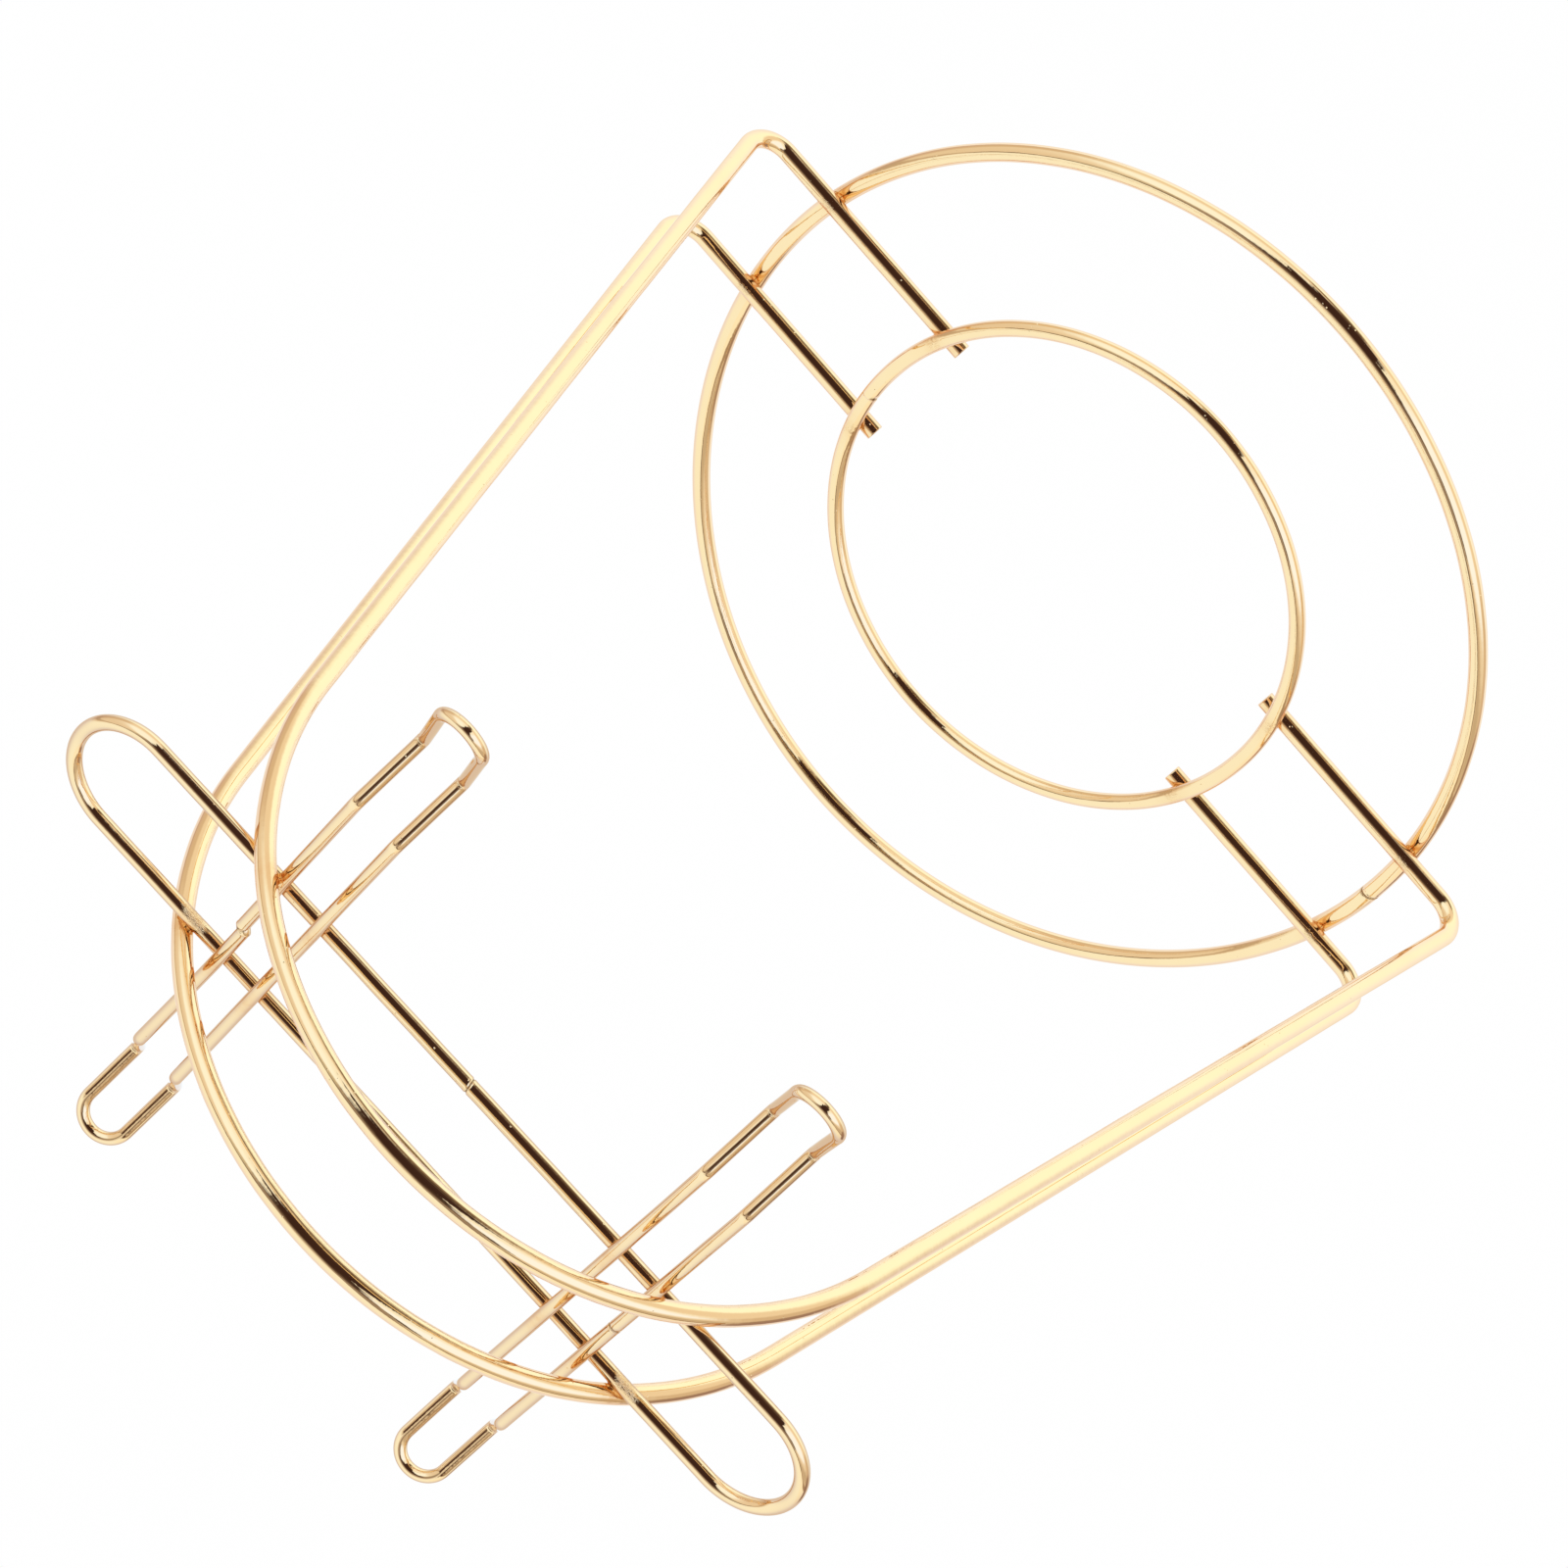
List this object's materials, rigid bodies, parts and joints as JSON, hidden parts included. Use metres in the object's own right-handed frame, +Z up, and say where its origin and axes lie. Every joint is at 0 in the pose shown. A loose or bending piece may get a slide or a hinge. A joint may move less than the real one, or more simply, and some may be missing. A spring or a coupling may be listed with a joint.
{
  "type": "cup and saucer rack",
  "caption": "Gold-plated wire rack: a twin arch on a round two-ring foot carries a saucer stack, with cup hooks along its top.",
  "frame": {"origin": "middle of the footprint, on the table top", "axes": "+Z up; +X to the right, along the cup bar; +Y to the rear"},
  "size_m": [0.2215, 0.1922, 0.268],
  "materials": {
    "hoop_gold": "polished gold-coloured plating on mild steel wire, 3.6 and 4 mm",
    "fine_gold": "polished gold-coloured plating on mild steel wire, 2.6 and 3 mm"
  },
  "bodies": {
    "root": {"base_ring": "hoop_gold", "front_hoop": "hoop_gold", "rear_hoop": "hoop_gold", "saucer_ring": "hoop_gold", "cup_bar": "fine_gold", "left_hook": "fine_gold", "right_hook": "fine_gold"}
  },
  "joints": []
}
